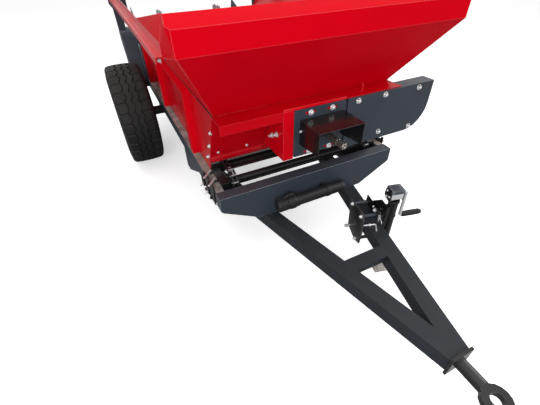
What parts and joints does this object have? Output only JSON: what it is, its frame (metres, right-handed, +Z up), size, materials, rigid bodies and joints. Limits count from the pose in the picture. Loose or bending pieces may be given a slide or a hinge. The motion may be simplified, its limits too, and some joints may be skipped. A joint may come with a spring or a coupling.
{
  "type": "manure spreader",
  "caption": "Single-axle farm box spreader: flared red hopper on an anthracite frame, drawbar with wind-up jack, chain floor and a rear rotor driven by a side shaft",
  "frame": {"origin": "on the ground, at the middle of the machine's outline seen from above", "axes": "+X is the machine's left-hand side, the side with the long drive shaft; +Y runs from the hitch eye towards the rotor at the back, the longest way; +Z is up, the shortest way"},
  "size_m": [1.89, 3.9802, 1.423],
  "materials": {
    "anthracite_paint": "smooth anthracite powder coat, slightly glossy",
    "red_paint": "bright red gloss paint on folded sheet",
    "dark_red_paint": "red gloss paint in the shade of the flare",
    "black_paint": "black semi-gloss paint",
    "cast_black": "dark machined and cast parts",
    "zinc": "bright zinc plating",
    "worn_steel": "bare and galvanised steel, dull silver",
    "rim_paint": "silver grey wheel paint",
    "tyre_rubber": "matt black ribbed tread rubber",
    "black_plastic": "matt black moulded plastic"
  },
  "bodies": {
    "chassis": {"side_rail_left": "anthracite_paint", "side_rail_right": "anthracite_paint", "front_beam": "anthracite_paint", "rear_beam": "anthracite_paint", "drawbar_leg_left": "anthracite_paint", "drawbar_leg_right": "anthracite_paint", "drawbar_cross_member": "anthracite_paint", "drawbar_hanger_left": "anthracite_paint", "drawbar_hanger_right": "anthracite_paint", "hitch_eye": "black_paint", "axle_tube": "black_paint", "hopper_floor": "black_paint", "hopper_side_left": "red_paint", "hopper_side_right": "red_paint", "hopper_front_lower": "dark_red_paint", "hopper_front_flare": "red_paint", "rotor_panel_left": "anthracite_paint", "rotor_panel_right": "anthracite_paint", "rear_top_beam": "anthracite_paint", "drive_posts": "red_paint", "pto_bearing_plate": "anthracite_paint", "pto_guard": "black_paint", "chain_case_front": "anthracite_paint", "drive_chain": "cast_black", "bevel_gearbox": "anthracite_paint", "chain_case_rear": "anthracite_paint", "conveyor_top": "cast_black", "conveyor_return": "cast_black", "conveyor_front_turn": "cast_black", "conveyor_rear_turn": "cast_black", "tension_block_left": "cast_black", "tension_block_right": "cast_black", "canister_body": "black_plastic", "jack_bracket": "black_paint", "side_post_1_left": "red_paint", "side_post_2_left": "red_paint", "side_post_3_left": "red_paint", "side_post_1_right": "red_paint", "side_post_2_right": "red_paint", "side_post_3_right": "red_paint"},
    "wheel_left": {"tyre_left": "tyre_rubber", "rim_left": "rim_paint", "hub_left": "cast_black"},
    "wheel_right": {"tyre_right": "tyre_rubber", "rim_right": "rim_paint", "hub_right": "cast_black"},
    "rotor": {"rotor_drum": "worn_steel", "rotor_shaft": "cast_black"},
    "side_shaft": {"side_drive_shaft": "cast_black"},
    "pto": {"pto_shaft": "worn_steel"},
    "floor_drive_shaft": {"rear_floor_shaft": "cast_black"},
    "floor_idler_shaft": {"front_floor_shaft": "cast_black"},
    "jack": {"jack_tube": "black_paint", "jack_head": "zinc", "jack_swivel_plate": "black_paint"},
    "jack_leg": {"jack_inner_leg": "zinc"},
    "crank": {"crank_arm": "zinc"},
    "grip": {"crank_grip": "black_plastic"},
    "lock_pin": {"jack_lock_pin": "zinc"},
    "canister_lid": {"canister_cap": "black_plastic"}
  },
  "joints": [
    {"name": "wheel_left_spin", "type": "hinge", "parent": "chassis", "child": "wheel_left", "pos_m": [0.8, 1.01015, 0.41984], "axis": [1, 0, 0], "continuous": true},
    {"name": "wheel_right_spin", "type": "hinge", "parent": "chassis", "child": "wheel_right", "pos_m": [-0.8, 1.01015, 0.41984], "axis": [1, 0, 0], "continuous": true},
    {"name": "rotor_spin", "type": "hinge", "parent": "chassis", "child": "rotor", "pos_m": [0, 1.71015, 0.86], "axis": [1, 0, 0], "continuous": true},
    {"name": "side_shaft_spin", "type": "hinge", "parent": "chassis", "child": "side_shaft", "pos_m": [0.62, 0, 0.86], "axis": [0, 1, 0], "continuous": true},
    {"name": "pto_spin", "type": "hinge", "parent": "chassis", "child": "pto", "pos_m": [0.008, -0.69, 0.83033], "axis": [0, 1, 0], "continuous": true},
    {"name": "floor_drive_spin", "type": "hinge", "parent": "chassis", "child": "floor_drive_shaft", "pos_m": [0, 1.56015, 0.5455], "axis": [1, 0, 0], "continuous": true},
    {"name": "floor_idler_spin", "type": "hinge", "parent": "chassis", "child": "floor_idler_shaft", "pos_m": [0, -0.53385, 0.5455], "axis": [1, 0, 0], "continuous": true},
    {"name": "jack_swivel", "type": "hinge", "parent": "chassis", "child": "jack", "pos_m": [0.29101, -0.99382, 0.388], "axis": [-0.9699, 0.2436, 0], "range_deg": [0, 90]},
    {"name": "jack_crank", "type": "hinge", "parent": "jack", "child": "crank", "pos_m": [0.27152, -1.07141, 0.566], "axis": [0.9699, -0.2436, 0], "range_deg": [-3600, 8400]},
    {"name": "jack_leg_slide", "type": "slide", "parent": "jack", "child": "jack_leg", "axis": [0, 0, 1], "range_m": [-0.06, 0.14]},
    {"name": "grip_spin", "type": "hinge", "parent": "crank", "child": "grip", "pos_m": [0.36851, -1.09577, 0.405], "axis": [0.9699, -0.2436, 0], "continuous": true},
    {"name": "lock_pin_pull", "type": "slide", "parent": "chassis", "child": "lock_pin", "axis": [-0.9699, 0.2436, 0], "range_m": [0, 0.11]},
    {"name": "canister_cap_pull", "type": "slide", "parent": "chassis", "child": "canister_lid", "axis": [-1, 0, 0], "range_m": [0, 0.1]}
  ],
  "couplings": [
    {"joint": "side_shaft_spin", "follows": "rotor_spin", "ratio": -1},
    {"joint": "pto_spin", "follows": "rotor_spin", "ratio": -1},
    {"joint": "floor_idler_spin", "follows": "floor_drive_spin", "ratio": 1},
    {"joint": "jack_leg_slide", "follows": "jack_crank", "m_per_rad": 0.00095493}
  ]
}
